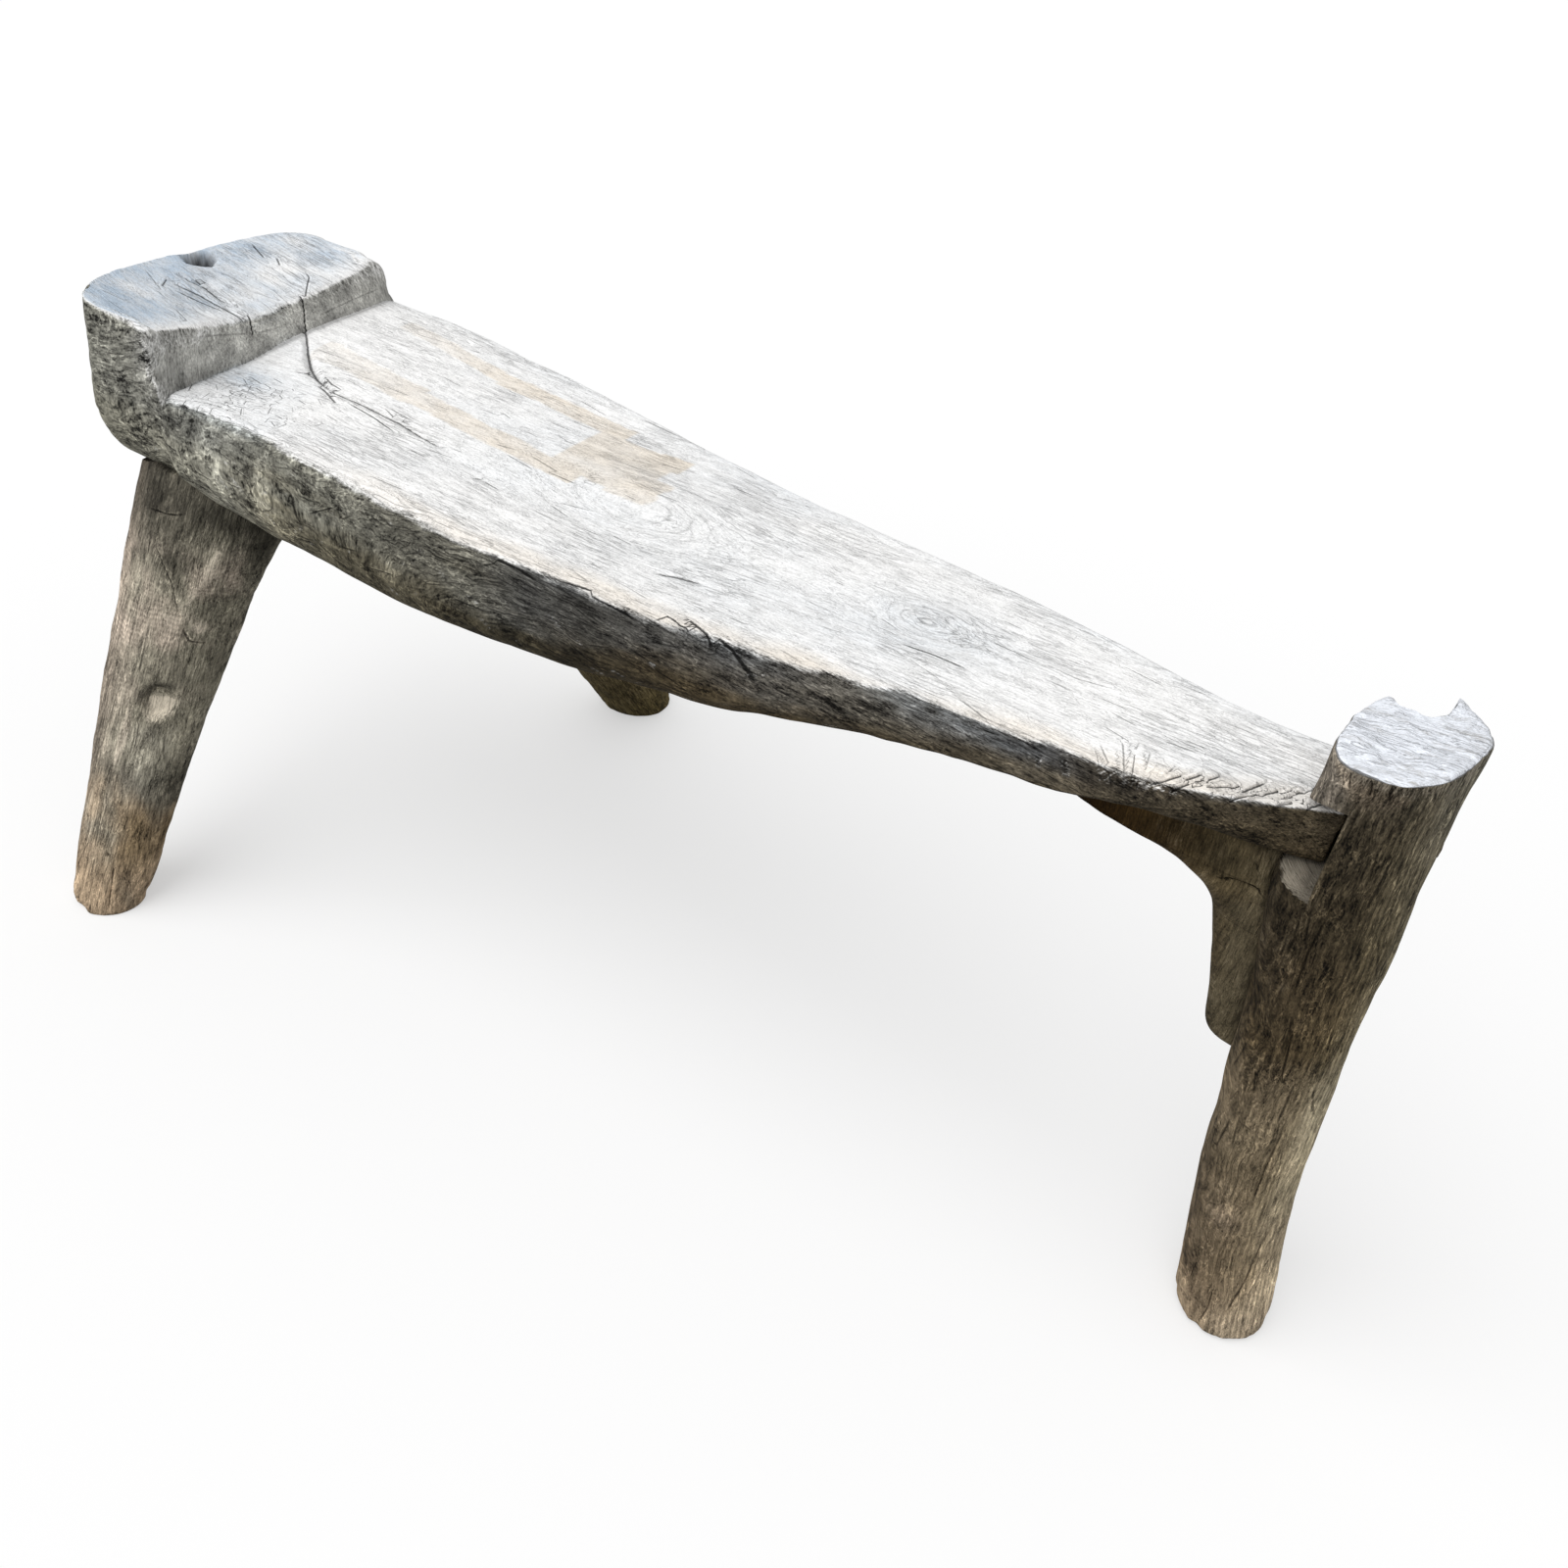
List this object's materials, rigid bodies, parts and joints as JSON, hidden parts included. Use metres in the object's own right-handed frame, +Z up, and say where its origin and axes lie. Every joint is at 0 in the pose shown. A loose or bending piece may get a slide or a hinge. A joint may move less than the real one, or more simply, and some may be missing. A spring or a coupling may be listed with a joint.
{
  "type": "wooden bench",
  "caption": "Low hewn wooden bench: a tapering slab seat with a dished headrest at the wide end, splayed round legs under it and a leaning post housed over the narrow end.",
  "frame": {"origin": "on the floor, under the middle of the bench's outline", "axes": "+X along the seat from the headrest to the foot post, +Y to the back, +Z up"},
  "size_m": [1.1466, 0.625, 0.515],
  "materials": {
    "bleached_wood": "bare, sun-bleached and worn smooth",
    "grey_wood": "bare, weathered grey",
    "brown_wood": "bare, darkened by handling",
    "peg_wood": "bare, dark"
  },
  "bodies": {
    "root": {"seat_slab": "bleached_wood", "front_leg": "grey_wood", "back_leg": "brown_wood", "foot_post": "brown_wood", "foot_knee": "brown_wood", "seat_peg": "peg_wood", "knee_peg": "peg_wood"}
  },
  "joints": []
}
